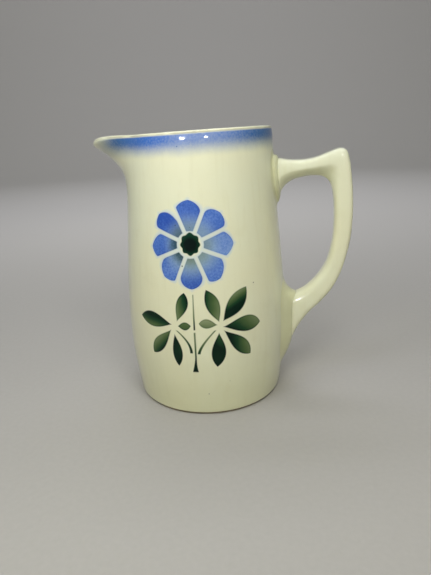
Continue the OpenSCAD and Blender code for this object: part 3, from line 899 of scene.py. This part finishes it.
# iron specks in the glaze: u and z, radius, strength
SPECKS = [(-4.2, 109, 0.5, 0.8), (-4.0, 181.3, 0.4, 0.75), (43.5, 94, 0.5, 0.55), (9.0, 18, 0.4, 0.6),
          (-7.6, 134.6, 0.4, 0.7), (-10.4, 125.0, 0.35, 0.5), (1.6, 133.2, 0.3, 0.5), (24.0, 27, 0.3, 0.4)]


def wall_places(n, where):
    """Where a point is: x and y in metres; height, radius and distance round from -Y in mm."""
    m = n.math
    split = n.add("SeparateXYZ")
    n.put(split.inputs[0], where)
    x, y = split.outputs[0], split.outputs[1]
    z = m("MULTIPLY", split.outputs[2], 1000.0)
    r = m("MULTIPLY", m("SQRT", m("MULTIPLY_ADD", x, x, m("MULTIPLY", y, y))), 1000.0)
    u = m("MULTIPLY", m("ARCTAN2", x, m("MULTIPLY", y, -1.0)), r)
    return x, y, z, r, u


def paint_flower(n, colour, flower, outside, mottle, cloud):
    """The petals with their halo and shaded roots, and the dark centre."""
    m, part = n.math, flower.outputs
    halo = m("MULTIPLY", m("MULTIPLY", part["Halo"], 0.6), outside)
    colour = n.mix(halo, colour, BLUE_HALO)
    depth = m("MULTIPLY_ADD", m("SUBTRACT", mottle, 0.5), 0.9, part["Depth"])
    depth = m("MULTIPLY_ADD", m("SUBTRACT", cloud, 0.5), 0.6, depth)
    depth = m("MULTIPLY_ADD", part["Rim"], 0.22, depth)
    blue = n.colours(depth, [(0.0, BLUE_PALE), (0.6, BLUE), (1.0, BLUE_DEEP)])
    root = n.ramp01(part["Radius"], m("MULTIPLY_ADD", part["Pale"], 6.0, 19.0), 11.0)
    root = m("MULTIPLY", root, m("MULTIPLY_ADD", part["Pale"], 0.45, 0.35))
    spray = n.ramp01(part["Radius"], 17.0, 9.0)
    spray = m("MULTIPLY_ADD", m("SUBTRACT", mottle, 0.5), 0.6, spray)
    spray = m("MULTIPLY", spray, part["Green"], clamp=True)
    green = n.mix(part["Olive"], ROOT_GREEN, ROOT_OLIVE)
    petals = n.mix(spray, n.mix(root, blue, BLUE_ROOT), green)
    colour = n.mix(m("MULTIPLY", part["Petals"], outside), colour, petals)
    heart = n.mix(n.ramp01(part["Radius"], 3.0, 7.0), HEART_DARK, HEART_GREEN)
    return n.mix(m("MULTIPLY", part["Centre"], outside), colour, heart)


def paint_specks(n, colour, u, z, outside):
    """The few iron specks that stand out."""
    m = n.math
    for at_u, at_z, size, strength in SPECKS:
        du, dz = m("SUBTRACT", u, at_u), m("SUBTRACT", z, at_z)
        far = m("SQRT", m("MULTIPLY_ADD", du, du, m("MULTIPLY", dz, dz)))
        dot = m("MULTIPLY", n.ramp01(far, size * 1.3, size * 0.6), strength)
        colour = n.mix(m("MULTIPLY", dot, outside), colour, SPECK_DARK)
    return colour


def paint_band(n, colour, u, drop, beak, outside, mottle, cloud):
    """A thin brownish line just under the rim and the sprayed blue band, by the drop below the rim in mm.
    """
    m = n.math
    # a thin brownish line just under the rim, in patches
    worn = m("MULTIPLY", n.ramp01(drop, 0.4, 1.0), n.ramp01(drop, 1.9, 1.3))
    worn = m("MULTIPLY", worn, m("MULTIPLY", n.ramp01(cloud, 0.3, 0.6), 0.45))
    colour = n.mix(m("MULTIPLY", worn, outside), colour, RIM_BROWN_LINE)
    fade = n.ramp01(drop, m("MULTIPLY_ADD", cloud, 4.0, 14.0), 4.5)
    start = n.ramp01(drop, 1.2, m("MULTIPLY_ADD", beak, 0.05, 2.3))
    middle = n.ramp01(m("ABSOLUTE", m("SUBTRACT", u, 12.0)), 44.0, 4.0)
    strength = m("MULTIPLY_ADD", middle, -0.19, 1.0)
    strength = m("MULTIPLY_ADD", m("SUBTRACT", mottle, 0.5), 0.40, strength)
    strength = m("MULTIPLY", strength, n.ramp01(beak, 25.0, 5.0))
    band = m("MULTIPLY", m("MULTIPLY", fade, start), m("MULTIPLY", strength, outside), clamp=True)
    # painted shade: the band turns greyer towards both sides, where the wall turns from the light
    band_shade = n.ramp01(m("ABSOLUTE", m("ADD", u, 2.0)), 17.0, 62.0)
    return n.mix(band, colour, n.mix(band_shade, BAND_BLUE, BAND_SHADE_GREY))


# a radius that lies within the wall at every height, so that colour stays on the outer face:
# at the foot, and its change for each mm up
WITHIN_R, WITHIN_TAPER = 50.9, -0.022


def painted_glaze():
    """The jug's glaze with the blue rim band, the flower and the leaf sprays."""
    material, n, shader, where = new_material("painted_glaze")
    m = n.math
    x, y, z, r, u = wall_places(n, where)
    mottle = n.noise(where, 800.0, 2.0, 0.7)
    cloud = n.noise(where, 70.0, 2.0)
    # the glaze turns darker and yellower towards the foot
    darker_to_foot = m("MULTIPLY", n.ramp01(z, 60.0, 4.0), 0.3)
    colour = n.mix(darker_to_foot, cream_glaze(n, where), CREAM_AT_FOOT)
    rim, beak = beak_nodes(n, x, y, z, r)
    within = m("ADD", m("MULTIPLY_ADD", z, WITHIN_TAPER, WITHIN_R), beak)
    outside = m("GREATER_THAN", r, within)
    flower = n.group(flower_group(), {"U": u, "Z": z})
    plants = n.group(plants_group(), {"U": u, "Z": z, "Mottle": cloud})
    colour = paint_flower(n, colour, flower, outside, mottle, cloud)
    colour = paint_specks(n, colour, u, z, outside)
    green = n.colours(m("DIVIDE", plants.outputs["Tone"], 1.3), LEAF_STOPS)
    colour = n.mix(m("MULTIPLY", plants.outputs["Mask"], outside), colour, green)
    drop = m("SUBTRACT", rim, z)
    colour = paint_band(n, colour, u, drop, beak, outside, mottle, cloud)
    n.put(shader.inputs["Base Color"], colour)
    painted = m("MAXIMUM", plants.outputs["Mask"], flower.outputs["Centre"])
    glaze_finish(n, shader, where, painted)
    return material


def bare_clay():
    """Unglazed, slightly gritty clay of the foot ring, its colour darkened as painted shade."""
    material, n, shader, where = new_material("bare_clay")
    grit = n.noise(where, 900.0, 4.0, 0.7)
    stain = n.noise(where, 60.0, 3.0)
    colour = n.mix(n.ramp01(grit, 0.35, 0.7), CLAY, CLAY_DARK)
    colour = n.mix(n.math("MULTIPLY", n.ramp01(stain, 0.5, 0.75), 0.5), colour, CLAY_STAIN)
    n.put(shader.inputs["Base Color"], colour)
    n.put(shader.inputs["Roughness"], n.math("MULTIPLY_ADD", grit, 0.2, 0.7))
    n.put(shader.inputs["Normal"], n.bump(grit, 0.5, 0.0002))
    return material


# ------ stage, lights and camera

CAM_TURN = 11.0                   # degrees round from -Y towards the handle
CAM_BACK, CAM_UP = 0.340, 0.189   # metres
CAM_PITCH, CAM_YAW, CAM_ROLL = 18.4, 1.15, -2.53     # degrees
CAM_LENS = 29.4                   # millimetres
AIM = Vector((0, 0, 0.11))        # the jug's middle, which the lights face
FLOOR_R, FLOOR_BEND = 2000.0, 900.0      # flat radius of the floor, and radius of its upturned edge


def build_camera():
    """A camera in front of the flower, level with the rim, pitched down and slightly rolled."""
    p, y, r = CAM_PITCH * DEG, CAM_YAW * DEG, CAM_ROLL * DEG
    ahead = Vector((math.sin(y) * math.cos(p), math.cos(y) * math.cos(p), -math.sin(p)))
    right = Vector((math.cos(y), -math.sin(y), 0))
    up = right.cross(ahead)
    right, up = right * math.cos(r) + up * math.sin(r), up * math.cos(r) - right * math.sin(r)
    turn = Matrix.Rotation(CAM_TURN * DEG, 3, "Z")
    axes = Matrix((turn @ right, turn @ up, turn @ -ahead)).transposed()
    camera = in_scene("camera", bpy.data.cameras.new("camera"))
    camera.matrix_world = axes.to_4x4()
    camera.location = turn @ Vector((0, -CAM_BACK, CAM_UP))
    camera.data.sensor_width = 36
    camera.data.lens = CAM_LENS
    camera.data.clip_start = 0.01
    bpy.context.scene.camera = camera


def area_light(name, place, ahead, size, power, colour):
    """A square light at a place, facing along a direction."""
    data = bpy.data.lights.new(name, "AREA")
    data.shape = "SQUARE"
    data.size = size
    data.energy = power
    data.color = colour
    light = in_scene(name, data)
    light.location = place
    light.rotation_euler = ahead.to_track_quat("-Z", "Y").to_euler()
    return light


def build_stage():
    """A plain pale floor that turns up all round, far behind the jug."""
    material, n, shader, where = new_material("floor_paper")
    grain = n.noise(where, 300.0, 3.0)
    n.put(shader.inputs["Base Color"], n.mix(grain, FLOOR_DARK, FLOOR_PALE))
    shader.inputs["Roughness"].default_value = 0.9
    shader.inputs["Specular IOR Level"].default_value = 0.1
    a = np.linspace(0, 2 * np.pi, 96, endpoint=False)
    ring = np.stack([np.cos(a), np.sin(a), 0 * a], 1)
    rings = [ring * r for r in (300, 800, 1400, FLOOR_R)]
    for b in range(10, 90, 10):
        out, up = math.sin(b * DEG), 1 - math.cos(b * DEG)
        rings.append(ring * (FLOOR_R + FLOOR_BEND * out) + [0, 0, FLOOR_BEND * up])
    rings += [ring * (FLOOR_R + FLOOR_BEND) + [0, 0, z] for z in (FLOOR_BEND, 1200, 1500)]
    verts, faces = loft(rings, first_tip=(0, 0, 0))
    floor = mesh_object("floor", verts, faces, material)


# lights that face the jug: name, degrees round from -Y, degrees up, distance and size in metres,
# watts, colour, and whether it only makes glints
JUG_LIGHTS = [
    ("key_left", -32, 42, 0.34, 0.12, 0.23, (1.0, 1.0, 0.93), False),
    ("key_near", -20, 50, 0.32, 0.12, 0.10, (0.5, 0.6, 1.5), False),
    ("key_right", 24, 50, 0.50, 0.16, 0.68, (1.0, 1.0, 1.04), False),
    ("side_right", 40, 30, 0.50, 0.20, 0.21, (1.0, 0.97, 1.1), False),
    ("key_front", 0, 30, 0.45, 0.20, 0.50, (1.0, 1.0, 0.75), False),
    ("glint_left", -14, 15, 1.3, 0.15, 5.5, (1.0, 1.0, 1.0), True),
    ("glint_right", 21, 15, 1.3, 0.10, 3.0, (1.0, 1.0, 1.0), True),
    ("back_fill", 200, 35, 0.80, 0.40, 0.6, (1.0, 1.0, 1.0), False),
]
# wide lights above the jug that face away from it, onto the far floor: name, turn, watts
BACKDROP_LIGHTS = [("backdrop", 0, 30.0), ("backdrop_left", 120, 8.0), ("backdrop_right", -120, 8.0)]


def build_lights():
    """Soft lights for the clay's shape, two for its glints, and the backdrop's own."""
    for name, turn, rise, distance, size, power, colour, glint in JUG_LIGHTS:
        a, e = turn * DEG, rise * DEG
        back = Vector((math.sin(a) * math.cos(e), -math.cos(a) * math.cos(e), math.sin(e)))
        light = area_light(name, AIM + back * distance, -back, size, power, colour)
        light.visible_glossy = glint
        light.visible_diffuse = not glint
    for name, turn, power in BACKDROP_LIGHTS:
        around = Matrix.Rotation((CAM_TURN + turn) * DEG, 3, "Z")
        place, ahead = around @ Vector((0, 0.7, 1.5)), around @ Vector((0, 1.5, -1.1))
        area_light(name, place, ahead, 1.2, power, (0.94, 0.96, 1.12))


def build_world():
    """A faint even light from all round, which the glaze doesn't mirror."""
    world = bpy.data.worlds.new("studio")
    world.use_nodes = True
    bpy.context.scene.world = world
    background = world.node_tree.nodes["Background"]
    background.inputs["Color"].default_value = (0.95, 1.0, 0.6, 1)
    background.inputs["Strength"].default_value = 0.09
    world.cycles_visibility.glossy = False


# ------ put together

def build():
    """The jug's five pieces, each on its body, with the nodes that it stands for."""
    painted, glaze, clay = painted_glaze(), plain_glaze("cream_glaze"), bare_clay()
    # the slip joints' glaze is darkened as painted shade in the creases between wall and handle
    joint_shade = plain_glaze("joint_glaze_painted_shade", 0.55)
    body = build_body(painted)
    foot = build_foot(clay)
    handle = build_handle(glaze)
    upper = build_upper_joint(joint_shade)
    lower = build_lower_joint(joint_shade)
    for piece in (body, foot, handle, upper, lower):
        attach(piece, "root")
    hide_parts("body_wall", "body_floor", "spout_lip", "rim_band", "flower_petals",
                "flower_centre", "main_stem", "side_stems", "left_leaves", "right_leaves")
    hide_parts("foot_ring")
    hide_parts("handle")
    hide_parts("upper_slip_joint")
    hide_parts("lower_slip_joint")


build()
build_stage()
build_lights()
build_world()
build_camera()
bpy.context.scene.view_settings.view_transform = "Standard"
